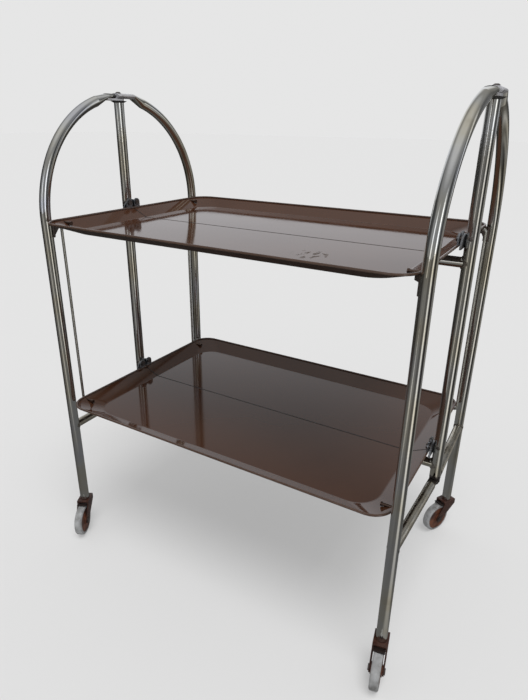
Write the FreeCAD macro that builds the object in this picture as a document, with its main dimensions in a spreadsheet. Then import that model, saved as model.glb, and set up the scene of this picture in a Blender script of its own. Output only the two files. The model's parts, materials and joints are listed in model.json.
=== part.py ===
"""Folding tea trolley: two split trays between two posts, on four arched gate legs with casters.

The document's frame stands on the floor below the middle of the trolley. +X runs along the trays
from the left post to the right post, +Y runs from the front to the back, and +Z is up.
"""
import FreeCAD, Part
import math
import os
import re

Vector = FreeCAD.Vector
Rotation = FreeCAD.Rotation
Placement = FreeCAD.Placement

SIZES = {
    # trays: each is two pressed steel leaves that meet along the middle
    "tray_length": 570.0,
    "upper_tray_width": 400.0,
    "lower_tray_width": 388.0,
    "tray_depth": 15.5,
    "tray_corner": 32.0,
    "tray_floor_corner": 40.0,
    "tray_sheet": 1.0,
    "flare_width": 30.0,
    "floor_bend": 8.0,
    "hem_height": 2.4,
    "hem_width": 2.4,
    "split_gap": 0.6,
    "upper_rim_height": 577.0,
    "lower_rim_height": 267.0,
    # frame: two upright posts and two stretchers under the trays
    "post_size": 16.5,
    "post_wall": 1.5,
    "post_foot_height": 225.0,
    "post_head_height": 746.0,
    "stretcher_size": 14.0,
    "stretcher_wall": 1.2,
    "stretcher_gap": 0.8,
    # gates: a leg that bends over to the post's head, and an arm to the post's foot
    "gate_radius": 180.0,
    "gate_toe_angle": 1.6,
    "leg_size": 16.0,
    "leg_wall": 1.5,
    "leg_foot_height": 61.0,
    "arch_start_height": 574.6,
    "arch_angle": 73.0,
    "arm_size": 14.0,
    "arm_wall": 1.2,
    "lap_thickness": 3.0,
    "lap_gap": 0.3,
    "arm_start": 21.2,
    "arm_lap_length": 40.0,
    "arm_lap_width": 13.0,
    "arm_lap_eye": 16.0,
    "arch_flat_length": 30.0,
    "arch_flat_width": 20.0,
    "arch_flat_height": 8.2,
    "back_flat_overhang": 8.0,
    "arch_tab_length": 34.0,
    "arch_tab_width": 17.2,
    "front_flat_end": 15.5,
    "front_flat_slant": 12.0,
    "front_corner_start": 16.3,
    "front_corner_angle": 39.2,
    # pins at the head and the foot of each post
    "gate_pin_size": 8.0,
    "head_pin_head": 10.0,
    "head_pin_head_height": 1.8,
    "foot_pin_head": 13.0,
    "foot_pin_head_height": 3.4,
    "plug_depth": 14.0,
    "plug_flange": 2.8,
    "plug_flange_size": 27.0,
    "foot_flange": 4.55,
    "running_gap": 0.05,
    # leaf hinges at the posts
    "plate_radius": 20.0,
    "plate_rise": 13.0,
    "plate_drop": 5.0,
    "plate_thickness": 2.4,
    "plate_gap": 2.35,
    "plate_web": 3.0,
    "plate_web_overlap": 5.0,
    "rivet_size": 4.0,
    "rivet_head": 6.0,
    "rivet_head_height": 1.2,
    "leaf_pivot_offset": 9.0,
    "leaf_pivot_rise": 8.0,
    "leaf_pin_size": 5.0,
    "leaf_pin_head": 8.5,
    "leaf_pin_head_height": 1.6,
    "lug_width": 13.0,
    # brackets on the legs that carry the corners of the upper leaves
    "rest_angle": 45.0,
    "rest_plate": 2.5,
    "rest_plate_width": 10.0,
    "rest_plate_height": 23.0,
    "rest_web": 3.2,
    "rest_shoulder": 12.0,
    "rest_reach": 26.0,
    "rest_tip": 5.5,
    "rest_gusset": 17.0,
    "rest_gap": 0.4,
    # rods that hang the lower leaves from the upper ones
    "tie_size": 4.5,
    "tie_leg_gap": 12.75,
    "tie_drop": 5.5,
    "tie_side_gap": 1.0,
    "tie_bend": 4.0,
    "tie_hook": 21.0,
    "tie_head": 6.0,
    "tie_head_height": 2.0,
    # casters
    "wheel_size": 54.0,
    "tyre_width": 13.0,
    "tyre_thickness": 5.0,
    "tyre_round": 3.0,
    "hub_rim_width": 11.0,
    "hub_rim_depth": 3.5,
    "hub_web": 6.0,
    "hub_boss": 16.0,
    "axle_size": 6.0,
    "axle_head": 9.0,
    "axle_head_height": 1.5,
    "caster_trail": 23.9,
    "fork_width": 21.0,
    "fork_sheet": 2.0,
    "fork_crown": 3.0,
    "fork_front": 14.0,
    "fork_back": 13.0,
    "fork_front_drop": 3.0,
    "fork_back_drop": 6.0,
    "fork_boss": 13.0,
    "fork_front_angle": 24.0,
    "fork_back_angle": 238.0,
    "fork_side_gap": 0.3,
    "stem_size": 8.0,
    "stem_head": 12.0,
    "stem_head_height": 1.8,
    "stem_collar": 0.8,
    "stem_bush_length": 30.0,
    "swivel_gap": 0.2,
}

# Which way each caster trails on the stored trolley, in degrees from +X.
CASTER_ANGLE = {"front_left": -61.0, "front_right": -79.0, "back_left": 101.0, "back_right": -118.0}
CORNERS = {"front_left": (-1, -1), "front_right": (1, -1), "back_left": (-1, 1), "back_right": (1, 1)}
LEVELS = ("upper", "lower")

doc = FreeCAD.newDocument("tea_trolley")
sheet = doc.addObject("Spreadsheet::Sheet", "Sizes")
for row, (alias, value) in enumerate(SIZES.items(), start=1):
    sheet.set(f"A{row}", alias)
    sheet.set(f"B{row}", str(value))
    sheet.setAlias(f"B{row}", alias)
doc.recompute()

NODES = []


def size(alias):
    """The plain number that the sheet holds under this name."""
    return float(getattr(sheet, alias))


def sized(text):
    """An expression in which every size is looked up in the sheet."""
    def looked_up(word):
        return "Sizes." + word.group() if word.group() in SIZES else word.group()
    return re.sub(r"[a-z]+(?:_[a-z]+)*", looked_up, str(text))


# The posts stand beyond the trays' ends, with the hinge plates between.
POST_FACE = "(tray_length / 2 + plate_gap + plate_thickness)"
POST_AXIS = "(tray_length / 2 + plate_gap + plate_thickness + post_size / 2)"
# The rods stand beside the legs, on the side of the split.
TIE_OFFSET = "(gate_radius - leg_size / 2 - tie_leg_gap - tie_size / 2)"
# The arms lie level with the gap between their laps, below the flange of the post's foot.
ARM_AXIS = "(post_foot_height - foot_flange - 1.5 * lap_gap - lap_thickness)"


def post_reach():
    """Distance from the middle of the trolley to a post's axis."""
    return size("tray_length") / 2 + size("plate_gap") + size("plate_thickness") + size("post_size") / 2


def tie_offset():
    """Distance from the split to a rod's axis."""
    return size("gate_radius") - size("leg_size") / 2 - size("tie_leg_gap") - size("tie_size") / 2


def tab_top():
    """Height of the upper side of the front arches' tabs."""
    return size("post_head_height") + size("plug_flange") + size("lap_gap") + size("lap_thickness")


def node(thing, label, placement=None):
    """Name a finished sub-part, put it in its place and keep it for export."""
    thing.Label = label
    if placement is not None:
        thing.Placement = placement
    NODES.append(thing)
    return thing


# ---------------------------------------------------------------- building blocks

ALONG = {"x": Rotation(Vector(0, 1, 0), 90), "y": Rotation(Vector(1, 0, 0), -90), "z": Rotation()}


def bound(kind, name, values, at, turn=Rotation()):
    """A primitive whose sizes and position follow the sheet."""
    thing = doc.addObject(kind, name)
    thing.Placement = Placement(Vector(), turn)
    for attribute, text in values.items():
        thing.setExpression(attribute, sized(text))
    for axis, text in zip("xyz", at):
        thing.setExpression("Placement.Base." + axis, sized(text))
    return thing


def bar(name, diameter, length, at, along="z"):
    """A round bar that starts at a point and runs along an axis."""
    values = {"Radius": f"({diameter}) / 2", "Height": length}
    return bound("Part::Cylinder", name, values, at, ALONG[along])


def slab(name, lengths, at):
    """A rectangular block that starts at its low corner."""
    return bound("Part::Box", name, dict(zip(("Length", "Width", "Height"), lengths)), at)


def cut(name, base, *tools):
    """The base with every tool taken away."""
    result = doc.addObject("Part::Cut", name)
    result.Base = base
    result.Tool = tools[0] if len(tools) == 1 else group(name + "_tools", *tools)
    return result


def fuse(name, *things):
    """One solid made of several that touch."""
    result = doc.addObject("Part::MultiFuse", name)
    result.Shapes = list(things)
    return result


def group(name, *things):
    """Several separate solids kept together."""
    result = doc.addObject("Part::Compound", name)
    result.Links = list(things)
    return result


def tube(name, outside, wall, length, at, along="z"):
    """A straight tube."""
    return cut(name, bar(name + "_outside", outside, length, at, along),
               bar(name + "_bore", f"{outside} - 2 * {wall}", length, at, along))


def flat_prism(name, outline, thickness):
    """A plate whose outline lies in the XZ plane, thickened evenly to both sides of it."""
    edge = doc.addObject("Part::Polygon", name + "_outline")
    edge.Nodes = [Vector(across, 0, up) for across, up in outline]
    edge.Close = True
    plate = doc.addObject("Part::Extrusion", name)
    plate.Base = edge
    plate.DirMode = "Custom"
    plate.Dir = Vector(0, 1, 0)
    plate.Solid = True
    plate.Symmetric = True
    plate.setExpression("LengthFwd", sized(thickness))
    return plate


# ---------------------------------------------------------------- tray leaves

def leaf_outline(sketch, half_length, far_edge, corner, near_edge):
    """Straight inner edge, two straight ends and a straight outer edge with two round corners."""
    across = half_length - corner
    along = far_edge - corner
    up = Vector(0, 0, 1)
    left_arc = Part.Circle(Vector(-across, along, 0), up, corner)
    right_arc = Part.Circle(Vector(across, along, 0), up, corner)
    sketch.addGeometry(Part.LineSegment(Vector(-half_length, near_edge, 0), Vector(-half_length, along, 0)))
    sketch.addGeometry(Part.ArcOfCircle(left_arc, math.pi / 2, math.pi))
    sketch.addGeometry(Part.LineSegment(Vector(-across, far_edge, 0), Vector(across, far_edge, 0)))
    sketch.addGeometry(Part.ArcOfCircle(right_arc, 0, math.pi / 2))
    sketch.addGeometry(Part.LineSegment(Vector(half_length, along, 0), Vector(half_length, near_edge, 0)))
    near_left = Vector(-half_length, near_edge, 0)
    near_right = Vector(half_length, near_edge, 0)
    sketch.addGeometry(Part.LineSegment(near_right, near_left))


def body_sketch(body, name, plane):
    """A sketch on one of the body's own origin planes."""
    sketch = body.newObject("Sketcher::SketchObject", name)
    base = next(item for item in body.Origin.OriginFeatures if item.Role == plane)
    sketch.AttachmentSupport = [(base, "")]
    sketch.MapMode = "FlatFace"
    return sketch


def edges_where(shape, test):
    """Names of the edges whose middle point passes a test."""
    names = []
    for number, edge in enumerate(shape.Edges, start=1):
        middle = edge.valueAt((edge.FirstParameter + edge.LastParameter) / 2)
        if test(middle, edge):
            names.append(f"Edge{number}")
    return names


def faces_where(shape, test):
    """Names of the faces whose centre passes a test."""
    numbered = enumerate(shape.Faces, start=1)
    return [f"Face{number}" for number, face in numbered if test(face.CenterOfMass, face)]


def leaf_body(label, width_name, placement):
    """One tray leaf, lying behind the split: a pressed dish with flared walls and a hemmed rim."""
    half_length = size("tray_length") / 2
    half_width = size(width_name) / 2
    near_edge = size("split_gap") / 2
    height = size("tray_depth") + size("tray_sheet")
    brim_level = height - size("hem_height")
    floor_share = size("tray_sheet") / brim_level
    hem = size("hem_width")
    close = 0.01

    def foot(level):
        """Picks the edges between the floor and the walls at this height."""
        return lambda at, edge: abs(at.z - level) < close and at.y > near_edge + close

    def outline(name, level, inset, corner, near):
        """The leaf's outline at one height, this far inside the rim."""
        sketch = body_sketch(body, f"{label}_{name}", "XY_Plane")
        sketch.AttachmentOffset = Placement(Vector(0, 0, level), Rotation())
        leaf_outline(sketch, half_length - inset, half_width - inset, corner, near)
        return sketch

    body = doc.addObject("PartDesign::Body", label + "_body")
    corner, floor_corner = size("tray_corner"), size("tray_floor_corner")
    under_floor = outline("under_floor", 0, size("flare_width"), floor_corner, near_edge)
    under_brim = outline("under_brim", brim_level, 0, corner, near_edge)
    flare = body.newObject("PartDesign::AdditiveLoft", label + "_flare")
    flare.Profile = under_floor
    flare.Sections = [under_brim]
    flare.Ruled = True
    doc.recompute()

    brim = body.newObject("PartDesign::Pad", label + "_brim")
    brim.Profile = under_brim
    brim.setExpression("Length", sized("hem_height"))
    doc.recompute()

    bend = body.newObject("PartDesign::Fillet", label + "_bend")
    bend.Base = (brim, edges_where(brim.Shape, foot(0)))
    bend.setExpression("Radius", sized("floor_bend"))
    doc.recompute()

    floor = outline("floor", size("tray_sheet"), size("flare_width") * (1 - floor_share) + hem,
                    floor_corner + (corner - floor_corner) * floor_share - hem, -near_edge)
    inner_brim = outline("inner_brim", brim_level, hem, corner - hem, -near_edge)
    dish = body.newObject("PartDesign::SubtractiveLoft", label + "_dish")
    dish.Profile = floor
    dish.Sections = [inner_brim]
    dish.Ruled = True
    doc.recompute()

    mouth = body.newObject("PartDesign::Pocket", label + "_mouth")
    mouth.Profile = inner_brim
    mouth.Reversed = True
    mouth.setExpression("Length", sized("hem_height"))
    doc.recompute()

    inner_bend = body.newObject("PartDesign::Fillet", label + "_inner_bend")
    inner_bend.Base = (mouth, edges_where(mouth.Shape, foot(size("tray_sheet"))))
    inner_bend.setExpression("Radius", sized("floor_bend - tray_sheet"))
    doc.recompute()

    holes = body_sketch(body, label + "_tie_holes", "YZ_Plane")
    holes.addGeometry(Part.Circle(Vector(tie_offset(), height - size("tie_drop"), 0), Vector(0, 0, 1),
                                  size("tie_size") / 2 + size("running_gap")))
    pocket = body.newObject("PartDesign::Pocket", label + "_tie_pocket")
    pocket.Profile = holes
    pocket.Type = "ThroughAll"
    pocket.Midplane = True
    body.Tip = pocket
    return node(body, label, placement)


def leaf_lugs(label, placement):
    """The two ears that stand on the rim beside the split and turn on the pivot pins."""
    ears = []
    for side in (-1, 1):
        low_x = "tray_length / 2 - hem_width" if side > 0 else "-tray_length / 2"
        foot = slab(f"{label}_foot_{side + 1}", ("hem_width", "lug_width", "leaf_pivot_rise"),
                    (low_x, "leaf_pivot_offset - lug_width / 2", "0"))
        eye = bar(f"{label}_eye_{side + 1}", "lug_width", "hem_width",
                  (low_x, "leaf_pivot_offset", "leaf_pivot_rise"), "x")
        hole = bar(f"{label}_hole_{side + 1}", "leaf_pin_size + 2 * running_gap", "hem_width",
                   (low_x, "leaf_pivot_offset", "leaf_pivot_rise"), "x")
        ears.append(cut(f"{label}_ear_{side + 1}", fuse(f"{label}_blank_{side + 1}", foot, eye), hole))
    node(group(label + "_pair", *ears), label, placement)


def make_leaves():
    """Four leaves: the front one of each tray is the back one turned half round."""
    for level in LEVELS:
        rim_height = size(level + "_rim_height")
        underside = rim_height - size("tray_depth") - size("tray_sheet")
        for row, turn in (("back", 0), ("front", 180)):
            rotation = Rotation(Vector(0, 0, 1), turn)
            label = f"{level}_{row}_leaf"
            leaf_body(label, level + "_tray_width", Placement(Vector(0, 0, underside), rotation))
            leaf_lugs(label + "_lugs", Placement(Vector(0, 0, rim_height), rotation))


# ---------------------------------------------------------------- tie rods

def tie_rod(name):
    """A thin rod beside the tray's right end, hooked through both leaves behind the split."""
    rod_x = "tray_length / 2 + tie_side_gap + tie_size / 2"
    pieces = [bar(name + "_shank", "tie_size", "upper_rim_height - lower_rim_height - 2 * tie_bend",
                  (rod_x, TIE_OFFSET, "lower_rim_height - tie_drop + tie_bend"))]
    for level, start_angle, lift in (("upper", 0, "-tie_bend"), ("lower", -90, "tie_bend")):
        height = f"{level}_rim_height - tie_drop"
        turn = Rotation(Vector(1, 0, 0), 90).multiply(Rotation(Vector(0, 0, 1), start_angle))
        pieces.append(bound("Part::Torus", f"{name}_{level}_bend",
                            {"Radius1": "tie_bend", "Radius2": "tie_size / 2", "Angle3": "90"},
                            (rod_x + " - tie_bend", TIE_OFFSET, f"{height} + {lift}"), turn))
        pieces.append(bar(f"{name}_{level}_hook", "tie_size",
                          "tie_hook + tie_side_gap + tie_size / 2 - tie_bend",
                          ("tray_length / 2 - tie_hook", TIE_OFFSET, height), "x"))
        pieces.append(bar(f"{name}_{level}_head", "tie_head", "tie_head_height",
                          ("tray_length / 2 - tie_hook", TIE_OFFSET, height), "x"))
    return fuse(name, *pieces)


def make_tie_rods():
    """A left and a right rod for the back leaves, and the same pair turned round for the front."""
    for row, turn in (("back", 0), ("front", 180)):
        right = tie_rod(f"{row}_tie_right")
        left = doc.addObject("Part::Mirroring", f"{row}_tie_left")
        left.Source = right
        left.Normal = Vector(1, 0, 0)
        pair = group(f"{row}_tie_pair", right, left)
        node(pair, f"{row}_tie_rods", Placement(Vector(), Rotation(Vector(0, 0, 1), turn)))


# ---------------------------------------------------------------- posts, stretchers and leaf hinges

SIDES = (("right", 0), ("left", 180))


LAP_STEP = "(lap_thickness + lap_gap)"
# Undersides of the gates' ends: at the head the back arch lies on the front one's tab, and at the
# foot the front arm's lap lies on the back arm's.
HEAD_LAP = {"front": "(post_head_height + plug_flange + lap_gap)"}
HEAD_LAP["back"] = f"({HEAD_LAP['front']} + {LAP_STEP})"
FOOT_LAP = {"back": f"({ARM_AXIS} - lap_thickness - lap_gap / 2)"}
FOOT_LAP["front"] = f"({FOOT_LAP['back']} + {LAP_STEP})"


def make_posts():
    """Upright tubes with slots and rivet holes for the hinge plates."""
    for side, turn in SIDES:
        name = side + "_post"
        height = "post_head_height - post_foot_height"
        foot = (POST_AXIS, "0", "post_foot_height")
        tools = [bar(name + "_bore", "post_size - 2 * post_wall", height, foot)]
        for level in LEVELS:
            rim = level + "_rim_height"
            tools.append(slab(f"{name}_{level}_slot",
                              ("post_size / 2", "plate_web + 2 * running_gap",
                               "plate_rise + 2 * running_gap"),
                              (POST_FACE, "-plate_web / 2 - running_gap", rim + " - running_gap")))
            tools.append(bar(f"{name}_{level}_hole", "rivet_size", "post_size",
                             (POST_AXIS, "-post_size / 2", rim + " + leaf_pivot_rise"), "y"))
        blank = bar(name + "_blank", "post_size", height, foot)
        node(cut(name + "_cut", blank, *tools), name, Placement(Vector(), Rotation(Vector(0, 0, 1), turn)))


def make_post_ends():
    """Plugs in the posts' heads, rivets through the lapped arch ends, and turned pins at the feet."""
    head_top = f"({HEAD_LAP['back']} + arch_flat_height + lap_gap)"
    foot_base = f"({FOOT_LAP['back']} - lap_gap)"
    plug_size = "post_size - 2 * post_wall - 2 * running_gap"
    for side, turn in SIDES:
        placement = Placement(Vector(), Rotation(Vector(0, 0, 1), turn))
        axis = (POST_AXIS, "0")

        name = side + "_post_plug"
        inside = bar(name + "_inside", plug_size, "plug_depth", (*axis, "post_head_height - plug_depth"))
        flange = bound("Part::Cone", name + "_flange",
                       {"Radius1": "post_size / 2", "Radius2": "plug_flange_size / 2",
                        "Height": "plug_flange"}, (*axis, "post_head_height"))
        hole = bar(name + "_hole", "gate_pin_size", "plug_depth + plug_flange",
                   (*axis, "post_head_height - plug_depth"))
        node(cut(name + "_cut", fuse(name + "_solid", inside, flange), hole), name, placement)

        name = side + "_head_pin"
        shank = bar(name + "_shank", "gate_pin_size", f"{head_top} - post_head_height + plug_depth",
                    (*axis, "post_head_height - plug_depth"))
        button = bound("Part::Cone", name + "_button",
                       {"Radius1": "head_pin_head / 2", "Radius2": "head_pin_head / 4",
                        "Height": "head_pin_head_height"}, (*axis, head_top))
        node(fuse(name + "_solid", shank, button), name, placement)

        name = side + "_foot_pin"
        bush = bar(name + "_bush", plug_size, "plug_depth", (*axis, "post_foot_height"))
        flange = bar(name + "_flange", "post_size", "foot_flange", (*axis, "post_foot_height - foot_flange"))
        shank = bar(name + "_shank", "gate_pin_size", f"post_foot_height - foot_flange - {foot_base}",
                    (*axis, foot_base))
        button = bar(name + "_button", "foot_pin_head", "foot_pin_head_height",
                     (*axis, f"{foot_base} - foot_pin_head_height"))
        node(fuse(name + "_solid", bush, flange, shank, button), name, placement)


def make_stretchers():
    """A tube under the split of each tray, its ends fitted round the posts."""
    for level in LEVELS:
        name = level + "_stretcher"
        height = f"{level}_rim_height - tray_depth - tray_sheet - stretcher_gap - stretcher_size / 2"
        rail = tube(name + "_tube", "stretcher_size", "stretcher_wall", "2 * " + POST_AXIS,
                    ("-" + POST_AXIS, "0", height), "x")
        posts = [bar(f"{name}_end_{side}", "post_size", "2 * stretcher_size",
                     (f"{side} * {POST_AXIS}", "0", f"{height} - stretcher_size")) for side in (-1, 1)]
        node(cut(name + "_cut", rail, *posts), name)


def make_hinge_plates():
    """Rounded ears on the posts' inner sides; a web behind each goes into the post's slot."""
    face_x = "tray_length / 2 + plate_gap"
    for level in LEVELS:
        rim = level + "_rim_height"
        for side, turn in SIDES:
            name = f"{level}_{side}_hinge_plate"
            disc = bar(name + "_disc", "2 * plate_radius", "plate_thickness",
                       (face_x, "0", f"{rim} + plate_rise - plate_radius"), "x")
            below = slab(name + "_below", ("plate_thickness", "2 * plate_radius", "2 * plate_radius"),
                         (face_x, "-plate_radius", f"{rim} - plate_drop - 2 * plate_radius"))
            ear = cut(name + "_ear", disc, below)
            web = slab(name + "_web", ("post_size / 2 + plate_web_overlap", "plate_web", "plate_rise"),
                       (POST_FACE, "-plate_web / 2", rim))
            holes = [bar(name + "_rivet_hole", "rivet_size", "plate_web",
                         (POST_AXIS, "-plate_web / 2", f"{rim} + leaf_pivot_rise"), "y")]
            for row in (-1, 1):
                holes.append(bar(f"{name}_pin_hole_{row + 1}", "leaf_pin_size", "plate_thickness",
                                 (face_x, f"{row} * leaf_pivot_offset", f"{rim} + leaf_pivot_rise"), "x"))
            node(cut(name + "_cut", fuse(name + "_solid", ear, web), *holes), name,
                 Placement(Vector(), Rotation(Vector(0, 0, 1), turn)))


def both_sides(name, things):
    """The things and a mirror image of each on the other side of the trolley."""
    pair = []
    for number, thing in enumerate(things):
        opposite = doc.addObject("Part::Mirroring", f"{name}_opposite_{number}")
        opposite.Source = thing
        opposite.Normal = Vector(1, 0, 0)
        pair += [thing, opposite]
    return pair


def make_hinge_fasteners():
    """Cross rivets that hold the plates in the posts, and the pins that the leaves turn on."""
    rivets = []
    pins = []
    for level in LEVELS:
        height = f"{level}_rim_height + leaf_pivot_rise"
        name = level + "_plate_rivet"
        shank = bar(name + "_shank", "rivet_size", "post_size", (POST_AXIS, "-post_size / 2", height), "y")
        heads = []
        for row, turn in ((-1, 90), (1, -90)):
            heads.append(bound("Part::Cone", f"{name}_head_{row + 1}",
                               {"Radius1": "rivet_head / 2", "Radius2": "rivet_head / 4",
                                "Height": "rivet_head_height"},
                               (POST_AXIS, f"{row} * post_size / 2", height),
                               Rotation(Vector(1, 0, 0), turn)))
        rivets.append(fuse(name, shank, *heads))
        for row in (-1, 1):
            name = f"{level}_leaf_pin_{row + 1}"
            at_y = f"{row} * leaf_pivot_offset"
            tip_x = "tray_length / 2 - hem_width - lap_gap - leaf_pin_head_height"
            shank = bar(name + "_shank", "leaf_pin_size", f"{POST_FACE} - ({tip_x})",
                        (tip_x, at_y, height), "x")
            head = bar(name + "_head", "leaf_pin_head", "leaf_pin_head_height", (tip_x, at_y, height), "x")
            pins.append(fuse(name, shank, head))
    node(group("plate_rivet_set", *both_sides("plate_rivet", rivets)), "hinge_plate_rivets")
    node(group("leaf_pin_set", *both_sides("leaf_pin", pins)), "leaf_pivot_pins")


# ---------------------------------------------------------------- gates

INWARD = Vector(-1, 0, 0)


def end_section(kind, name, values, at, direction):
    """An outline square to a direction in the gate's plane, its width across that plane."""
    across = Vector(0, 1, 0)
    return bound(kind, name, values, at, Rotation(across, direction.cross(across), direction, "ZXY"))


def neck(name, ring, flat):
    """The stretch of a pressed tube end that changes from round to flat."""
    loft = doc.addObject("Part::Loft", name)
    loft.Sections = [ring, flat]
    loft.Solid = True
    return loft


def pin_hole(name, underside, thickness):
    """The hole that turns on a gate pin."""
    return bar(name + "_pin_hole", "gate_pin_size + 2 * running_gap", thickness, ("0", "0", underside))


def strap(label, placement, length, width, eye_size, underside):
    """A flat lap, let into the end of a tube, with a round eye that turns on the gate's pin."""
    tongue = slab(label + "_tongue", (length, width, "lap_thickness"), ("0", f"-{width} / 2", underside))
    eye = bar(label + "_eye", eye_size, "lap_thickness", ("0", "0", underside))
    blank = fuse(label + "_blank", tongue, eye)
    node(cut(label + "_cut", blank, pin_hole(label, underside, "lap_thickness")), label, placement)
    return blank


def front_flat_space(name, outer):
    """What the cut-off front oval leaves free: the slanted end, and the corner on its outer side."""
    low = tab_top()
    high = low + size("arch_flat_height")
    near = size("front_flat_end")
    slant = flat_prism(name + "_slant", [
        (near, high),
        (near + size("front_flat_slant"), low),
        (-near, low),
        (-near, high),
    ], "2 * arch_flat_width")
    corner = bound("Part::Box", name + "_corner",
                   {"Length": "2 * arch_flat_width", "Width": "arch_flat_width",
                    "Height": "arch_flat_height"},
                   ("front_corner_start", "0", f"{HEAD_LAP['front']} + lap_thickness"),
                   Rotation(Vector(0, 0, 1), size("front_corner_angle")))
    if outer < 0:
        opposite = doc.addObject("Part::Mirroring", name + "_opposite_corner")
        opposite.Source = corner
        opposite.Normal = Vector(0, 1, 0)
        corner = opposite
    return [slant, corner]


def arch_head(name, which, outer):
    """The arch's pressed neck and its oval end, which lies over the post or in front is cut off."""
    sweep = math.radians(size("arch_angle"))
    ring = end_section("Part::Circle", name + "_round", {"Radius": "leg_size / 2"},
                       ("gate_radius * cos(arch_angle)", "0",
                        "arch_start_height + gate_radius * sin(arch_angle)"),
                       Vector(-math.sin(sweep), 0, math.cos(sweep)))
    lap = HEAD_LAP[which]
    underside = lap if which == "back" else f"{lap} + lap_thickness / 2"
    oval = end_section("Part::Ellipse", name + "_oval",
                       {"MajorRadius": "arch_flat_width / 2", "MinorRadius": "arch_flat_height / 2"},
                       ("arch_flat_length", "0", f"{underside} + arch_flat_height / 2"), INWARD)
    flat = doc.addObject("Part::Extrusion", name + "_flat")
    flat.Base = oval
    flat.DirMode = "Custom"
    flat.Dir = INWARD
    flat.Solid = True
    if which == "back":
        flat.setExpression("LengthFwd", sized("arch_flat_length + back_flat_overhang"))
    else:
        flat.setExpression("LengthFwd", sized("arch_flat_length"))
        flat = cut(name + "_cut_off", flat, *front_flat_space(name, outer))
    return neck(name + "_neck", ring, oval), flat


def gate_leg(corner, placement, which, outer):
    """An upright tube whose top bends over to the post in a quarter circle, and its end on the pin."""
    label = corner + "_leg"
    foot = ("gate_radius", "0", "leg_foot_height")
    arch_centre = ("0", "0", "arch_start_height")
    upright = tube(label + "_upright", "leg_size", "leg_wall", "arch_start_height - leg_foot_height", foot)
    quarter = Rotation(Vector(1, 0, 0), 90)
    bend = bound("Part::Torus", label + "_bend",
                 {"Radius1": "gate_radius", "Radius2": "leg_size / 2", "Angle3": "arch_angle"},
                 arch_centre, quarter)
    bore = bound("Part::Torus", label + "_bend_bore",
                 {"Radius1": "gate_radius", "Radius2": "leg_size / 2 - leg_wall", "Angle3": "arch_angle"},
                 arch_centre, quarter)
    arch = cut(label + "_arch", bend, bore)
    pressed, flat = arch_head(label, which, outer)
    lap = HEAD_LAP[which]
    if which == "back":
        node(fuse(label + "_solid", upright, arch, pressed), label, placement)
        cap = corner + "_arch_end"
        node(cut(cap + "_cut", flat, pin_hole(cap, lap, "arch_flat_height")), cap, placement)
        return
    tab = strap(corner + "_arch_tab", placement, "arch_tab_length", "arch_tab_width", "arch_tab_width", lap)
    node(cut(label + "_cut", fuse(label + "_solid", upright, arch, pressed, flat), tab), label, placement)


def gate_arm(corner, placement, which):
    """A straight tube from the leg towards the post's foot, and the lap that joins it to the pin."""
    label = corner + "_arm"
    rail = tube(label + "_rail", "arm_size", "arm_wall", "gate_radius - arm_start",
                ("arm_start", "0", ARM_AXIS), "x")
    leg = bar(label + "_leg_space", "leg_size", "2 * arm_size",
              ("gate_radius", "0", ARM_AXIS + " - arm_size"))
    lap = strap(label + "_lap", placement, "arm_lap_length", "arm_lap_width", "arm_lap_eye", FOOT_LAP[which])
    node(cut(label + "_cut", rail, leg, lap), label, placement)


def flare_share(x, y, half_width):
    """How far up a leaf's wall its underside passes over this point: 0 at the floor, 1 below the hem."""
    low, high = 0.0, 1.0
    while high - low > 1e-6:
        share = (low + high) / 2
        inset = size("flare_width") * (1 - share)
        corner = size("tray_floor_corner") * (1 - share) + size("tray_corner") * share
        past_x = x - size("tray_length") / 2 + inset + corner
        past_y = y - half_width + inset + corner
        reach = math.hypot(past_x, past_y) if min(past_x, past_y) > 0 else max(past_x, past_y)
        low, high = (low, share) if reach < corner else (share, high)
    return high


def rest_height_at(reach):
    """Height of a bracket's top edge, just under the leaf's flared corner, this far from the leg's axis."""
    toe = math.radians(size("gate_toe_angle"))
    towards = math.radians(90 - size("rest_angle")) + toe
    leg_x = post_reach() - size("gate_radius") * math.sin(toe)
    leg_y = size("gate_radius") * math.cos(toe)
    wall_rise = size("tray_depth") + size("tray_sheet") - size("hem_height")
    underside = size("upper_rim_height") - size("tray_depth") - size("tray_sheet")
    heights = []
    for aside in (-size("rest_web") / 2, size("rest_web") / 2):
        x = leg_x - reach * math.cos(towards) + aside * math.sin(towards)
        y = leg_y - reach * math.sin(towards) - aside * math.cos(towards)
        share = flare_share(x, y, size("upper_tray_width") / 2)
        heights.append(underside + share * wall_rise)
    return min(heights) - size("rest_gap")


def leaf_rest(label, placement, inward):
    """A bracket on the leg, turned towards the tray's middle: a plate, and a web under the leaf's corner."""
    near = size("leg_size") / 2
    outside = near + size("rest_plate")
    shoulder, tip = size("rest_shoulder"), size("rest_reach")
    top = rest_height_at(shoulder)
    bottom = top - size("rest_plate_height")
    tip_top = rest_height_at(tip)
    tip_bottom = tip_top - size("rest_tip")
    plate = flat_prism(label + "_plate", [(near, bottom), (near, top), (outside, top), (outside, bottom)],
                       "rest_plate_width")
    web = flat_prism(label + "_web", [
        (near, bottom + size("rest_plate")),
        (near, top),
        (shoulder, top),
        (tip, tip_top),
        (tip, tip_bottom),
        (size("rest_gusset"), tip_bottom),
        (outside, bottom + size("rest_plate")),
    ], "rest_web")
    bracket = fuse(label + "_solid", plate, web)
    to_leg = Placement(Vector(size("gate_radius"), 0, 0),
                       Rotation(Vector(0, 0, 1), 180 - inward * size("rest_angle")))
    node(bracket, label, placement.multiply(to_leg))


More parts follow.
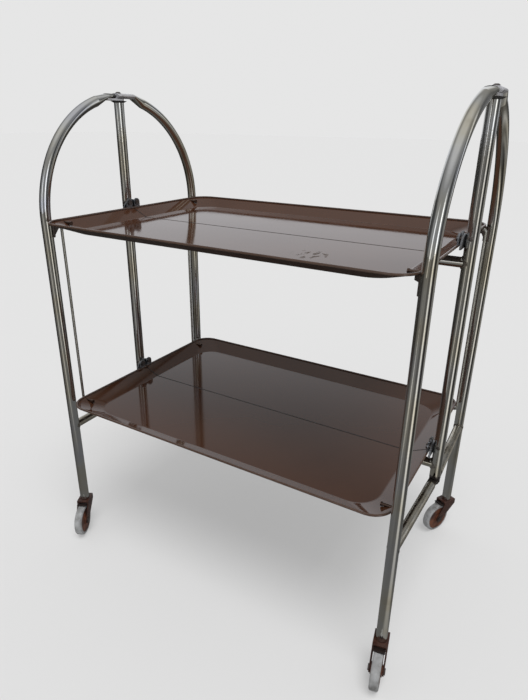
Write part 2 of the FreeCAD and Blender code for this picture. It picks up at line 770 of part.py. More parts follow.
def make_gates():
    """Four gates; each swings on the pins at the head and the foot of its post."""
    toe = size("gate_toe_angle")
    for corner, (side, row) in CORNERS.items():
        which = "front" if row < 0 else "back"
        heading = row * (90 + side * toe)
        placement = Placement(Vector(side * post_reach(), 0, 0), Rotation(Vector(0, 0, 1), heading))
        gate_leg(corner, placement, which, -side * row)
        gate_arm(corner, placement, which)
        leaf_rest(corner + "_leaf_rest", placement, side * row)
        leg_foot = placement.multVec(Vector(size("gate_radius"), 0, 0))
        make_caster(corner, Placement(leg_foot, Rotation(Vector(0, 0, 1), CASTER_ANGLE[corner])))


# ---------------------------------------------------------------- casters

def make_caster(corner, placement):
    """Stem, fork, axle, hub and tyre; the frame stands on the floor below the stem and +X trails."""
    crown_top = size("leg_foot_height") - size("stem_collar") - size("swivel_gap")
    crown_base = crown_top - size("fork_crown")

    label = corner + "_caster_stem"
    bush = bar(label + "_bush", "leg_size - 2 * leg_wall - 2 * running_gap", "stem_bush_length",
               ("0", "0", "leg_foot_height"))
    collar = bar(label + "_collar", "leg_size", "stem_collar", ("0", "0", "leg_foot_height - stem_collar"))
    shank = bar(label + "_shank", "stem_size", f"leg_foot_height - stem_collar - {crown_base} + swivel_gap",
                ("0", "0", f"{crown_base} - swivel_gap"))
    head = bar(label + "_head", "stem_head", "stem_head_height",
               ("0", "0", f"{crown_base} - swivel_gap - stem_head_height"))
    node(fuse(label + "_solid", bush, collar, shank, head), label, placement)

    def across(name, diameter, length):
        """A bar along the axle's line, centred between the cheeks."""
        return bar(name, diameter, length, ("caster_trail", f"-({length}) / 2", "wheel_size / 2"), "y")

    def on_boss(tangent):
        """A point on the rim of the boss round the axle."""
        angle = math.radians(size(tangent))
        boss = size("fork_boss") / 2
        return (size("caster_trail") + boss * math.cos(angle),
                size("wheel_size") / 2 + boss * math.sin(angle))

    label = corner + "_caster_fork"
    side_view = flat_prism(label + "_side", [
        (-size("fork_back"), crown_top),
        (size("fork_front"), crown_top),
        (size("fork_front"), crown_base - size("fork_front_drop")),
        on_boss("fork_front_angle"),
        on_boss("fork_back_angle"),
        (-size("fork_back"), crown_base - size("fork_back_drop")),
    ], "fork_width")
    axle_boss = across(label + "_boss", "fork_boss", "fork_width")
    between = slab(label + "_between",
                   ("2 * fork_back + caster_trail + wheel_size", "fork_width - 2 * fork_sheet",
                    str(crown_base)),
                   ("-2 * fork_back", "fork_sheet - fork_width / 2", "0"))
    axle_hole = across(label + "_axle_hole", "axle_size", "fork_width")
    stem_hole = bar(label + "_stem_hole", "stem_size + 2 * running_gap", "fork_crown + 2 * swivel_gap",
                    ("0", "0", f"{crown_base} - swivel_gap"))
    node(cut(label + "_cut", fuse(label + "_solid", side_view, axle_boss), between, axle_hole, stem_hole),
         label, placement)

    label = corner + "_caster_axle"
    whole_length = "fork_width + 2 * axle_head_height"
    shank = across(label + "_shank", "axle_size", whole_length)
    heads = cut(label + "_heads", across(label + "_heads_blank", "axle_head", whole_length),
                across(label + "_heads_gap", "axle_head", "fork_width"))
    node(fuse(label + "_solid", shank, heads), label, placement)

    label = corner + "_wheel_hub"
    hub_size = "wheel_size - 2 * tyre_thickness"
    ring = cut(label + "_ring", across(label + "_ring_blank", hub_size, "hub_rim_width"),
               across(label + "_ring_space", f"{hub_size} - 2 * hub_rim_depth", "hub_rim_width"))
    web = across(label + "_web", hub_size, "hub_web")
    boss_bar = across(label + "_boss", "hub_boss", "fork_width - 2 * fork_sheet - 2 * fork_side_gap")
    bore = across(label + "_bore", "axle_size + 2 * running_gap", "fork_width")
    node(cut(label + "_cut", fuse(label + "_solid", ring, web, boss_bar), bore), label, placement)

    label = corner + "_tyre"
    band = cut(label + "_band", across(label + "_blank", "wheel_size", "tyre_width"),
               across(label + "_space", hub_size, "tyre_width"))
    doc.recompute()
    outer = size("wheel_size") / 2
    rounded = doc.addObject("Part::Fillet", label + "_rounded")
    rounded.Base = band
    rounded.Edges = [(number, size("tyre_round"), size("tyre_round"))
                     for number, edge in enumerate(band.Shape.Edges, start=1)
                     if isinstance(edge.Curve, Part.Circle) and abs(edge.Curve.Radius - outer) < 0.01]
    node(rounded, label, placement)


# ---------------------------------------------------------------- the trolley

def check_and_write():
    """Refuse a failed object or an unsound solid, then write one file for each sub-part."""
    doc.recompute()
    for thing in doc.Objects:
        if "Invalid" in thing.State or "Error" in thing.State:
            raise RuntimeError(f"{thing.Label} failed: {thing.State}")
    for thing in NODES:
        if thing.Shape.isNull() or not thing.Shape.isValid() or not thing.Shape.Solids:
            raise RuntimeError(f"{thing.Label} is not a sound solid")
    os.makedirs("parts", exist_ok=True)
    for thing in NODES:
        thing.Shape.exportStep(os.path.join("parts", thing.Label + ".step"))
    print(len(NODES), "sub-parts written")


make_leaves()
make_tie_rods()
make_posts()
make_post_ends()
make_stretchers()
make_hinge_plates()
make_hinge_fasteners()
make_gates()
check_and_write()
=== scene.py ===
# %% [markdown]
# # A tea trolley with split trays
#
# The trolley has an upper and a lower tray between two posts. Each tray is two pressed leaves that meet
# along a straight split. Four bent tubes make the legs and the arches at the ends, and each stands on a
# swivel caster. The imported model already holds every solid at its true size, so this lesson is about the
# looks: the enamel, the plating, and the small things that a solid model leaves out, such as rolled rims,
# weld beads, black fillers in the arch ends and wheel discs.
#
# The first cell loads the model. Its nodes stay where they are, and each one rides on its own moving body.

# %% Load the imported trolley
import json
import math

import bpy
from mathutils import Euler, Matrix, Vector

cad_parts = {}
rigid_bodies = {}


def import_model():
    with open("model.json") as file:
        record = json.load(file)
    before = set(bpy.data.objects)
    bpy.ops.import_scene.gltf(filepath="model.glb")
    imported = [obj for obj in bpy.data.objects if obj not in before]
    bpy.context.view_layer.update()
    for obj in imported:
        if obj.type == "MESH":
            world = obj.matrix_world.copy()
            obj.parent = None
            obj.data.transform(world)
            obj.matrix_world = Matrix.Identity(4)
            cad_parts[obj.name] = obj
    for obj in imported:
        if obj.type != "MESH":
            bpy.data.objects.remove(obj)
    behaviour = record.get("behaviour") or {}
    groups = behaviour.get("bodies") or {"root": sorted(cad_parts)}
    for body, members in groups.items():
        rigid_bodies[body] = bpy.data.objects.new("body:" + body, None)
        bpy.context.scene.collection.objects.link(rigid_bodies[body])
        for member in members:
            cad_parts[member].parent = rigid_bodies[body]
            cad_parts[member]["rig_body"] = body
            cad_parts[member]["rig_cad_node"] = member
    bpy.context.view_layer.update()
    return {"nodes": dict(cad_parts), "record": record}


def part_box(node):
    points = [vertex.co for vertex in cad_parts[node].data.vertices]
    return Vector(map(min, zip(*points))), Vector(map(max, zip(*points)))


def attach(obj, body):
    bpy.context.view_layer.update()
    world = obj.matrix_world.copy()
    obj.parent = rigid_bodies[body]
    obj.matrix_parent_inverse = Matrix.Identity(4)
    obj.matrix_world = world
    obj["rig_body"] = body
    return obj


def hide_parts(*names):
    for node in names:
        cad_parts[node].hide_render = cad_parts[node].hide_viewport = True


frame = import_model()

# %% [markdown]
# ## The camera
#
# The camera stands a little below the tops of the arches, in front of the right end, and looks down across
# the trays. It is close by and has a lens of 28 mm on a 36 mm long side, so the perspective is strong: the
# near leg is much longer than the far one. It is rolled by less than a degree.

# %% Stand the camera in front of the right end
CAMERA_PLACE = Vector((0.4275, -0.7351, 0.7182))
CAMERA_YAW = 0.536
CAMERA_PITCH = -0.395
CAMERA_ROLL = 0.012
CAMERA_LENS = 28.05
SENSOR_SIDE = 36

bpy.ops.object.select_all(action="DESELECT")
bpy.ops.object.camera_add(location=CAMERA_PLACE)
camera = bpy.context.object
level_view = Euler((math.pi / 2 + CAMERA_PITCH, 0, CAMERA_YAW)).to_matrix()
camera.rotation_euler = (level_view @ Matrix.Rotation(CAMERA_ROLL, 3, "Z")).to_euler()
camera.data.sensor_fit = "AUTO"
camera.data.sensor_width = SENSOR_SIDE
camera.data.lens = CAMERA_LENS
camera.data.dof.use_dof = False
bpy.context.scene.camera = camera
print("camera at", tuple(round(value, 3) for value in camera.location))

# %% [markdown]
# ## Floor and light
#
# Plating shows what is round it, so the room matters more than the plating. The floor is a pale paper
# sweep. To rays that come off a mirror, the floor and the walls show bands of grey by compass direction:
# mostly dark, with a few bright screens. The tubes mirror them, which draws long dark and light streaks
# down them. All other rays see an even paper and an even fill light. A sun with a wide disc stands in for
# the big soft boxes. It leaves a soft shadow, and it isn't mirrored itself, because it would burn a white
# spot into every bend.

# %% Helpers for building node trees
def plain_shader(name, colour, roughness):
    """A new material with one plain shader, and the shader itself."""
    made = bpy.data.materials.new(name)
    made.use_nodes = True
    shader = made.node_tree.nodes["Principled BSDF"]
    shader.inputs["Base Color"].default_value = (*colour, 1)
    shader.inputs["Roughness"].default_value = roughness
    return made, shader


def math_node(tree, operation, first, second=None):
    """A math node fed by two outputs, or by an output and a number."""
    made = tree.nodes.new("ShaderNodeMath")
    made.operation = operation
    for number, value in enumerate((first, second)):
        if isinstance(value, (int, float)):
            made.inputs[number].default_value = value
        elif value is not None:
            tree.links.new(value, made.inputs[number])
    return made.outputs["Value"]


def ranged(tree, value, low, high, at_low=0.0, at_high=1.0):
    """The value stretched so that low becomes at_low and high becomes at_high, and held at those ends."""
    node = tree.nodes.new("ShaderNodeMapRange")
    numbers = {"From Min": low, "From Max": high, "To Min": at_low, "To Max": at_high}
    for name, number in numbers.items():
        node.inputs[name].default_value = number
    tree.links.new(value, node.inputs["Value"])
    return node.outputs["Result"]


def choose(tree, factor, first, second):
    """The first colour where the factor is 0, the second where it is 1; each is a grey or an output."""
    node = tree.nodes.new("ShaderNodeMix")
    node.data_type = "RGBA"
    tree.links.new(factor, node.inputs[0])
    for place, value in ((6, first), (7, second)):
        if isinstance(value, float):
            node.inputs[place].default_value = (value, value, value, 1)
        else:
            tree.links.new(value, node.inputs[place])
    return node.outputs[2]


def colour_ramp(tree, value, stops):
    """Colours spread over a value; stops are (place, colour) in rising order."""
    node = tree.nodes.new("ShaderNodeValToRGB")
    elements = node.color_ramp.elements
    for number, (place, colour) in enumerate((stops[0], stops[-1])):
        elements[number].position = place
        elements[number].color = (*colour, 1)
    for place, colour in stops[1:-1]:
        elements.new(place).color = (*colour, 1)
    tree.links.new(value, node.inputs["Fac"])
    return node.outputs["Color"]


def compass_bands(tree, coordinates, bands, tint):
    """Tinted greys by compass direction: bands are (degrees from +X, level) from -180 to 180."""
    parts = tree.nodes.new("ShaderNodeSeparateXYZ")
    tree.links.new(coordinates, parts.inputs["Vector"])
    angle = math_node(tree, "ARCTAN2", parts.outputs["Y"], parts.outputs["X"])
    share = math_node(tree, "ADD", math_node(tree, "DIVIDE", angle, 2 * math.pi), 0.5)
    stops = [((degrees + 180) / 360, [level * part for part in tint]) for degrees, level in bands]
    return colour_ramp(tree, share, stops)


# %% Lay the paper sweep
PAPER_SIDE = 60
PAPER_GLOW = 0.30
PAPER_SHADE = 0.40
PAPER_ROUGHNESS = 0.9
NEAR_FLOOR = 0.14
NEAR_REACH = 0.30
FAR_REACH = 0.95
ROOM_FLOOR = ((-180, 0.04), (-145, 0.04), (-125, 0.15), (-106, 0.20), (-101, 0.60), (-95, 0.60), (-90, 0.18),
              (-76, 0.22), (-60, 0.10), (-42, 0.14), (-35, 1.00), (-24, 1.00), (-17, 0.12), (-4, 0.03),
              (14, 0.03), (24, 0.30), (34, 0.12), (48, 0.45), (58, 0.14), (72, 0.04), (180, 0.04))
WARM = (1.0, 0.965, 0.90)

bpy.ops.object.select_all(action="DESELECT")
bpy.ops.mesh.primitive_plane_add(size=PAPER_SIDE, location=(0, 0, 0))
floor = bpy.context.object
floor.name = "studio_floor"
floor_paint, floor_shader = plain_shader("studio_floor_paint", (PAPER_SHADE, PAPER_SHADE, PAPER_SHADE),
                                         PAPER_ROUGHNESS)
floor_shader.inputs["Specular IOR Level"].default_value = 0.0
tree = floor_paint.node_tree
where = tree.nodes.new("ShaderNodeTexCoord").outputs["Object"]
mirrored = tree.nodes.new("ShaderNodeLightPath").outputs["Is Glossy Ray"]
reach = tree.nodes.new("ShaderNodeVectorMath")
reach.operation = "LENGTH"
tree.links.new(where, reach.inputs[0])
far = ranged(tree, reach.outputs["Value"], NEAR_REACH, FAR_REACH)
mirrored_floor = choose(tree, far, NEAR_FLOOR, compass_bands(tree, where, ROOM_FLOOR, WARM))
tree.links.new(choose(tree, mirrored, PAPER_SHADE, 0.0), floor_shader.inputs["Base Color"])
tree.links.new(choose(tree, mirrored, PAPER_GLOW, mirrored_floor), floor_shader.inputs["Emission Color"])
floor_shader.inputs["Emission Strength"].default_value = 1.0
floor.data.materials.append(floor_paint)
print("floor bands", len(ROOM_FLOOR))

# %% Light the room
ROOM_WALLS = ((-180, 0.05), (-146, 0.08), (-132, 0.30), (-118, 0.30), (-108, 0.22), (-101, 1.35), (-94, 1.35),
              (-86, 0.20), (-72, 0.35), (-62, 0.22), (-46, 0.30), (-37, 1.10), (-34, 2.10), (-30, 2.10),
              (-24, 0.80), (-17, 0.25), (0, 0.06), (14, 0.05), (26, 0.30), (34, 0.06), (46, 0.95), (54, 0.10),
              (82, 0.20), (95, 0.75), (140, 0.80), (158, 0.55), (168, 0.10), (180, 0.05))
COOL = (0.98, 1.0, 1.04)
BACKDROP = 0.79
FILL_LIGHT = 0.60
CEILING = 0.30
CEILING_MIDDLE = 0.62
CEILING_EDGE = (0.38, 0.62)
MIDDLE_EDGE = (0.70, 0.92)
SUN_ENERGY = 2.0
SUN_DISC = math.radians(34)
SUN_DIRECTION = Vector((-0.25, 0.27, -1.0))

world = bpy.data.worlds.new("studio")
bpy.context.scene.world = world
world.use_nodes = True
sky = world.node_tree
rays = sky.nodes.new("ShaderNodeLightPath")
heading = sky.nodes.new("ShaderNodeTexCoord").outputs["Generated"]
height = sky.nodes.new("ShaderNodeSeparateXYZ")
sky.links.new(heading, height.inputs["Vector"])
overhead = ranged(sky, height.outputs["Z"], *CEILING_EDGE)
steep = ranged(sky, height.outputs["Z"], *MIDDLE_EDGE)
ceiling = choose(sky, steep, CEILING, CEILING_MIDDLE)
mirrored_room = choose(sky, overhead, compass_bands(sky, heading, ROOM_WALLS, COOL), ceiling)
lit = choose(sky, rays.outputs["Is Camera Ray"], FILL_LIGHT, BACKDROP)
seen = choose(sky, rays.outputs["Is Glossy Ray"], lit, mirrored_room)
sky.links.new(seen, sky.nodes["Background"].inputs["Color"])

bpy.ops.object.select_all(action="DESELECT")
bpy.ops.object.light_add(type="SUN", location=-3 * SUN_DIRECTION)
soft_boxes = bpy.context.object
soft_boxes.name = "soft_boxes"
soft_boxes.data.energy = SUN_ENERGY
soft_boxes.data.angle = SUN_DISC
soft_boxes.visible_glossy = False
soft_boxes.rotation_euler = SUN_DIRECTION.to_track_quat("-Z", "Y").to_euler()
bpy.context.scene.view_settings.view_transform = "Standard"
print("wall bands", len(ROOM_WALLS))

# %% [markdown]
# ## Finishes
#
# Every finish is built from noise on the piece's own coordinates, so it stays on the piece when it moves.
# One noise drifts the colour, a finer one the gloss, and a very fine one makes a small bump.

# %% A helper for a worn, uneven finish
def noise_field(tree, scale, detail, seed, stretch=(1, 1, 1)):
    """Noise on object coordinates; stretch squeezes it along each axis."""
    mapping = tree.nodes.new("ShaderNodeMapping")
    mapping.inputs["Scale"].default_value = stretch
    mapping.inputs["Location"].default_value = (seed, seed * 0.7, seed * 1.3)
    noise = tree.nodes.new("ShaderNodeTexNoise")
    noise.inputs["Scale"].default_value = scale
    noise.inputs["Detail"].default_value = detail
    place = tree.nodes.new("ShaderNodeTexCoord")
    tree.links.new(place.outputs["Object"], mapping.inputs["Vector"])
    tree.links.new(mapping.outputs["Vector"], noise.inputs["Vector"])
    return noise.outputs["Fac"]


def worn_finish(name, stops, rough, metallic, scale, bump, seed=0.0, bump_scale=400.0, coat=0.0):
    """A finish whose colour and gloss drift over the piece, with a fine bump."""
    made, shader = plain_shader(name + "_finish", stops[0][1], rough[0])
    tree = made.node_tree
    shader.inputs["Metallic"].default_value = metallic
    shader.inputs["Coat Weight"].default_value = coat
    shader.inputs["Coat Roughness"].default_value = 0.08
    tint = colour_ramp(tree, noise_field(tree, scale, 5.0, seed), stops)
    tree.links.new(tint, shader.inputs["Base Color"])
    gloss = ranged(tree, noise_field(tree, scale * 2.3, 4.0, seed + 3.1), 0.35, 0.75, *rough)
    tree.links.new(gloss, shader.inputs["Roughness"])
    bumped = tree.nodes.new("ShaderNodeBump")
    bumped.inputs["Strength"].default_value = bump
    bumped.inputs["Distance"].default_value = 0.001
    tree.links.new(noise_field(tree, bump_scale, 3.0, seed + 7.7), bumped.inputs["Height"])
    tree.links.new(bumped.outputs["Normal"], shader.inputs["Normal"])
    return made


# %% Mix the metals
plated_tube = worn_finish(
    "plated_tube", ((0.30, (0.60, 0.61, 0.65)), (0.48, (0.66, 0.66, 0.63)), (0.62, (0.64, 0.61, 0.52)),
                    (0.80, (0.40, 0.36, 0.28))), (0.03, 0.14), 1.0, 16.0, 0.04)
arm_plating = worn_finish(
    "arm_plating", ((0.3, (0.58, 0.56, 0.51)), (0.55, (0.50, 0.46, 0.38)), (0.75, (0.26, 0.22, 0.16))),
    (0.18, 0.40), 1.0, 34.0, 0.15, seed=2.0)
head_plating = worn_finish(
    "head_plating", ((0.3, (0.80, 0.80, 0.84)), (0.55, (0.70, 0.69, 0.70)), (0.8, (0.36, 0.33, 0.30))),
    (0.28, 0.45), 0.75, 45.0, 0.12, seed=1.4)
weld_steel = worn_finish(
    "weld_steel", ((0.3, (0.42, 0.40, 0.36)), (0.7, (0.26, 0.22, 0.18))), (0.3, 0.5), 1.0, 120.0, 0.5,
    seed=2.5, bump_scale=500.0)
zinc = worn_finish(
    "dull_zinc", ((0.3, (0.36, 0.38, 0.41)), (0.75, (0.22, 0.22, 0.22))), (0.35, 0.55), 1.0, 60.0, 0.2,
    seed=5.0)
dark_steel = worn_finish(
    "dark_steel", ((0.3, (0.24, 0.22, 0.21)), (0.75, (0.12, 0.10, 0.09))), (0.3, 0.5), 1.0, 60.0, 0.2,
    seed=6.0)
rod_steel = worn_finish(
    "rod_steel", ((0.3, (0.72, 0.72, 0.68)), (0.75, (0.50, 0.49, 0.45))), (0.25, 0.4), 1.0, 40.0, 0.1,
    seed=7.0)
print("metals mixed")

# %% Mix the enamels, the moulding and the tyre
tray_enamel = worn_finish(
    "tray_enamel", ((0.3, (0.052, 0.021, 0.011)), (0.7, (0.066, 0.028, 0.015))), (0.06, 0.11), 0.0, 6.0,
    0.012, seed=4.0, bump_scale=180.0)
# A lighter, glossier copy of the tray enamel for the rolled rims: the rim's own enamel, lightened as a
# painted highlight along the roll.
rim_enamel_and_highlight = worn_finish(
    "rim_enamel_and_highlight", ((0.3, (0.060, 0.034, 0.023)), (0.7, (0.085, 0.052, 0.038))), (0.12, 0.25), 0.0, 30.0, 0.05,
    seed=4.5, bump_scale=300.0, coat=0.2)
# A darker, duller copy of the tray enamel: painted shade for the faces that look down or outwards.
outer_painted_shade = worn_finish(
    "outer_painted_shade", ((0.3, (0.022, 0.010, 0.006)), (0.7, (0.034, 0.016, 0.010))), (0.40, 0.60), 0.0, 40.0,
    0.08, seed=4.2, bump_scale=300.0)
# Near-black enamel: painted shade along the split between the leaves, and the real black enamel of the wheel
# guards.
black_enamel_and_split_shade = worn_finish(
    "black_enamel_and_split_shade", ((0.3, (0.010, 0.006, 0.005)), (0.7, (0.022, 0.013, 0.010))), (0.45, 0.65), 0.0, 60.0, 0.1,
    seed=4.8, bump_scale=300.0)
rest_enamel = worn_finish(
    "rest_enamel", ((0.3, (0.040, 0.028, 0.024)), (0.75, (0.075, 0.055, 0.045))), (0.3, 0.5), 0.0, 50.0, 0.2,
    seed=8.0)
fork_enamel = worn_finish(
    "fork_enamel", ((0.3, (0.030, 0.012, 0.009)), (0.6, (0.052, 0.022, 0.015)), (0.8, (0.016, 0.010, 0.008))),
    (0.25, 0.45), 0.0, 60.0, 0.25, seed=10.0)
hub_enamel = worn_finish(
    "hub_enamel", ((0.35, (0.150, 0.050, 0.024)), (0.65, (0.050, 0.022, 0.016))), (0.35, 0.55), 0.0, 60.0,
    0.2, seed=11.0)
black_moulding = worn_finish(
    "black_moulding", ((0.3, (0.020, 0.020, 0.020)), (0.75, (0.035, 0.034, 0.033))), (0.45, 0.6), 0.0, 70.0,
    0.1, seed=9.0)
grey_tyre = worn_finish(
    "grey_tyre", ((0.35, (0.35, 0.355, 0.36)), (0.55, (0.24, 0.24, 0.24)), (0.75, (0.10, 0.095, 0.09))),
    (0.6, 0.8), 0.0, 70.0, 0.3, seed=12.0)
print("enamels mixed")

# %% [markdown]
# ## Local wear
#
# The rods' hooks lie inside the dish and took some of its paint, and one place on the upper tray is
# scuffed. Both are found by the object's own coordinates: a share of 1 there and 0 elsewhere mixes in the
# other colour.

# %% Paint the rods' hooks
HOOK_REACH = (0.2830, 0.2834)
HOOK_PAINT = (0.14, 0.095, 0.075)


def inside_reach(tree, inner, outer):
    """1 nearer to the trolley's middle than inner, 0 further than outer, measured along X on both sides."""
    place = tree.nodes.new("ShaderNodeTexCoord")
    parts = tree.nodes.new("ShaderNodeSeparateXYZ")
    tree.links.new(place.outputs["Object"], parts.inputs["Vector"])
    return ranged(tree, math_node(tree, "ABSOLUTE", parts.outputs["X"]), inner, outer, 1.0, 0.0)


def paint_over(finish, share, colour):
    """Where the share is 1, cover the finish's own colour."""
    tree = finish.node_tree
    target = tree.nodes["Principled BSDF"].inputs["Base Color"]
    own = target.links[0].from_socket
    cover = tree.nodes.new("ShaderNodeRGB")
    cover.outputs[0].default_value = (*colour, 1)
    tree.links.new(choose(tree, share, own, cover.outputs[0]), target)


paint_over(rod_steel, inside_reach(rod_steel.node_tree, *HOOK_REACH), HOOK_PAINT)
print("rod hooks painted")

# %% Scuff the upper tray
SCUFF_PLACE = (0.122, -0.103, 0.5616)
SCUFF_REACH = 0.032
SCUFF_COLOUR = (0.075, 0.058, 0.048)
SCUFF_ROUGHNESS = 0.6


def scuffs(tree):
    """1 on fine marks round one place on the upper floor, where cups were pushed about, 0 elsewhere."""
    place = tree.nodes.new("ShaderNodeTexCoord")
    away = tree.nodes.new("ShaderNodeVectorMath")
    away.operation = "DISTANCE"
    away.inputs[1].default_value = SCUFF_PLACE
    tree.links.new(place.outputs["Object"], away.inputs[0])
    near = ranged(tree, away.outputs["Value"], SCUFF_REACH, SCUFF_REACH * 0.5)
    marks = ranged(tree, noise_field(tree, 150.0, 3.0, 21.0, (1.0, 0.45, 1.0)), 0.54, 0.60)
    return math_node(tree, "MULTIPLY", near, marks)


def roughen(finish, share, roughness):
    """Where the share is 1, take the finish's gloss away."""
    tree = finish.node_tree
    target = tree.nodes["Principled BSDF"].inputs["Roughness"]
    own = target.links[0].from_socket
    added = math_node(tree, "MULTIPLY", share, roughness)
    tree.links.new(math_node(tree, "ADD", own, added), target)


scuff_share = scuffs(tray_enamel.node_tree)
paint_over(tray_enamel, scuff_share, SCUFF_COLOUR)
roughen(tray_enamel, scuff_share, SCUFF_ROUGHNESS)
print("scuffs at", SCUFF_PLACE)

# %% Put the finishes on the solids
FINISH_OF_SLOT = {
    "plated_tube": plated_tube, "tray_enamel": tray_enamel, "lug_steel": zinc, "hinge_steel": zinc,
    "fastener_steel": dark_steel, "rod_steel": rod_steel, "rest_enamel": rest_enamel,
    "plug_plastic": black_moulding, "fork_enamel": fork_enamel, "hub_enamel": hub_enamel,
    "tyre_rubber": grey_tyre,
}
slot_of_node = {item["node"]: item["material_slot"] for item in frame["record"]["subparts"]}
for node_name, node_object in frame["nodes"].items():
    finish = FINISH_OF_SLOT[slot_of_node[node_name]]
    if node_name.endswith("_arm"):
        finish = arm_plating
    elif node_name.endswith(("_arch_tab", "_arch_end")):
        finish = head_plating
    node_object.data.materials.clear()
    node_object.data.materials.append(finish)

# %% Paint shade on the outer side and the underside of the trays
def outer_face(face):
    """Whether a leaf's face looks down, or outwards from the middle of the tray."""
    if abs(face.normal.z) > 0.5:
        return face.normal.z < 0
    return face.normal.x * face.center.x + face.normal.y * face.center.y > 0


# Faces that look down or outwards take the darker copy of the enamel as painted shade.
for level in ("upper", "lower"):
    for row in ("front", "back"):
        leaf_mesh = frame["nodes"][f"{level}_{row}_leaf"].data
        leaf_mesh.materials.append(outer_painted_shade)
        outer_faces = [face for face in leaf_mesh.polygons if outer_face(face)]
        for face in outer_faces:
            face.material_index = 1
        print(level, row, len(outer_faces), "outer faces of", len(leaf_mesh.polygons))

# %% [markdown]
# ## Modelling the small pieces
#
# Each new piece starts as a primitive, is shaped in edit mode, and is then settled: its place goes into its
# mesh, its faces point outwards, and it hangs on the body that carries it.

# %% Helpers for modelling by hand
def alone(piece=None):
    """Deselect everything, then select one piece and make it the active one."""
    bpy.ops.object.select_all(action="DESELECT")
    if piece is not None:
        piece.select_set(True)
        bpy.context.view_layer.objects.active = piece


def named(name):
    """Name the piece that was just added."""
    piece = bpy.context.object
    piece.name = name
    piece.data.name = name
    return piece


def bake(piece):
    """Put the piece's place, turn and scale into its mesh."""
    alone(piece)
    bpy.ops.object.transform_apply(location=True, rotation=True, scale=True)


def edit(piece, kind="FACE", test=None):
    """Enter edit mode with only the faces, edges or vertices selected whose middle passes the test."""
    alone(piece)
    bpy.ops.object.mode_set(mode="EDIT")
    bpy.ops.mesh.select_mode(type=kind)
    bpy.ops.mesh.select_all(action="DESELECT")
    if test is None:
        bpy.ops.mesh.select_all(action="SELECT")
        return
    bpy.ops.object.mode_set(mode="OBJECT")
    mesh = piece.data
    corners = mesh.vertices
    if kind == "VERT":
        for corner in corners:
            corner.select = test(corner.co)
    elif kind == "EDGE":
        for edge in mesh.edges:
            edge.select = test((corners[edge.vertices[0]].co + corners[edge.vertices[1]].co) / 2)
    else:
        for face in mesh.polygons:
            face.select = test(face.center)
    bpy.ops.object.mode_set(mode="EDIT")


def settle(piece, body, finish, smooth=40):
    """Bake the piece, turn its faces outwards, give it its finish and hang it on its body."""
    bake(piece)
    edit(piece)
    bpy.ops.mesh.remove_doubles(threshold=0.00001)
    bpy.ops.mesh.normals_make_consistent(inside=False)
    bpy.ops.object.mode_set(mode="OBJECT")
    bpy.ops.object.shade_smooth_by_angle(angle=math.radians(smooth))
    piece.data.materials.clear()
    piece.data.materials.append(finish)
    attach(piece, body)
    return piece


def soften(piece, width, segments=2, angle=30):
    """Round the edges of a piece that are sharper than an angle."""
    softened = piece.modifiers.new("edges", "BEVEL")
    softened.width = width
    softened.segments = segments
    softened.limit_method = "ANGLE"
    softened.angle_limit = math.radians(angle)
    alone(piece)
    bpy.ops.object.modifier_apply(modifier=softened.name)


CORNERS = {"front_left": (-1, -1), "front_right": (1, -1), "back_left": (-1, 1), "back_right": (1, 1)}
post_low, post_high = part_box("right_post")
POST_REACH = (post_low.x + post_high.x) / 2
POST_RADIUS = (post_high.x - post_low.x) / 2
GATE_TOE = math.radians(1.6)
GATE_RADIUS = 0.180
LEG_RADIUS = 0.008


def gate_frame(corner):
    """Turns a gate's own frame, +X from the post to the leg, into the trolley's."""
    side, row = CORNERS[corner]
    turn = Matrix.Rotation(row * (math.pi / 2 + side * GATE_TOE), 4, "Z")
    return Matrix.Translation((side * POST_REACH, 0, 0)) @ turn


print("post reach", round(POST_REACH, 4), "radius", round(POST_RADIUS, 4))

# %% [markdown]
# ## Rolled rims
#
# The sheet of each leaf is rolled over at the rim, so that no cut edge is felt. On the solids the rim is a
# square bar. Here a bead follows it round the leaf's three outer sides. A plane with two bevelled corners
# gives the line, and a round bevel on the curve made from it gives the roll.
# The bead's enamel is lighter than the tray's, a painted highlight along the roll.

# %% Roll the rims
HEM_INSET = 0.0012
ROLL_RADIUS = 0.00165
LEAF_CORNER = 0.032


def rolled_rim(level, row):
    """A bead along the outer sides of one leaf's rim."""
    low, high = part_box(f"{level}_{row}_leaf")
    outer = 1 if row == "back" else -1
    far = (high.y if row == "back" else low.y) - outer * HEM_INSET
    near = low.y if row == "back" else high.y
    alone()
    bpy.ops.mesh.primitive_plane_add(size=1, location=(0, (far + near) / 2, high.z - HEM_INSET))
    rim = named(f"{level}_{row}_rolled_rim")
    rim.scale = (high.x - low.x - 2 * HEM_INSET, abs(far - near), 1)
    bake(rim)
    edit(rim, "VERT", lambda at: abs(at.y - far) < 0.001)
    bpy.ops.mesh.bevel(offset=LEAF_CORNER - HEM_INSET, offset_type="OFFSET", segments=12, affect="VERTICES")
    bpy.ops.object.mode_set(mode="OBJECT")
    edit(rim, "FACE")
    bpy.ops.mesh.delete(type="ONLY_FACE")
    bpy.ops.object.mode_set(mode="OBJECT")
    edit(rim, "EDGE", lambda at: abs(at.y - near) < 0.001)
    bpy.ops.mesh.delete(type="EDGE")
    bpy.ops.object.mode_set(mode="OBJECT")
    alone(rim)
    bpy.ops.object.convert(target="CURVE")
    rim = bpy.context.object
    rim.data.bevel_depth = ROLL_RADIUS
    rim.data.bevel_resolution = 3
    rim.data.use_fill_caps = True
    bpy.ops.object.convert(target="MESH")
    return settle(bpy.context.object, f"{level}_{row}_leaf", rim_enamel_and_highlight)


for level in ("upper", "lower"):
    for row in ("front", "back"):
        rim = rolled_rim(level, row)
        print(rim.name, len(rim.data.polygons), "faces")

